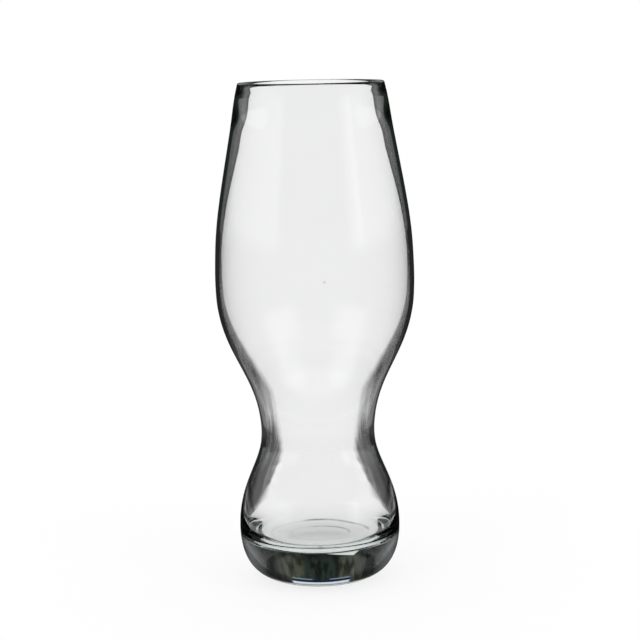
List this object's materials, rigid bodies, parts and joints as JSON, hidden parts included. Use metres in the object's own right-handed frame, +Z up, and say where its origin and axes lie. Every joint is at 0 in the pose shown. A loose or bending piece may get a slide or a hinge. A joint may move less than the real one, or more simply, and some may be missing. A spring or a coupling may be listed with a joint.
{
  "type": "beer glass",
  "caption": "Tall waisted beer glass of clear glass, with a tapering bowl, a narrow waist and a bulb over a thick solid base.",
  "frame": {"origin": "the middle of the flat foot, on the surface that the glass stands on", "axes": "+Z up along the axis of the glass, which is round, so X and Y are free"},
  "size_m": [0.0794, 0.0794, 0.2],
  "materials": {
    "clear_glass": "polished"
  },
  "bodies": {
    "root": {"glass_body": "clear_glass"}
  },
  "joints": []
}
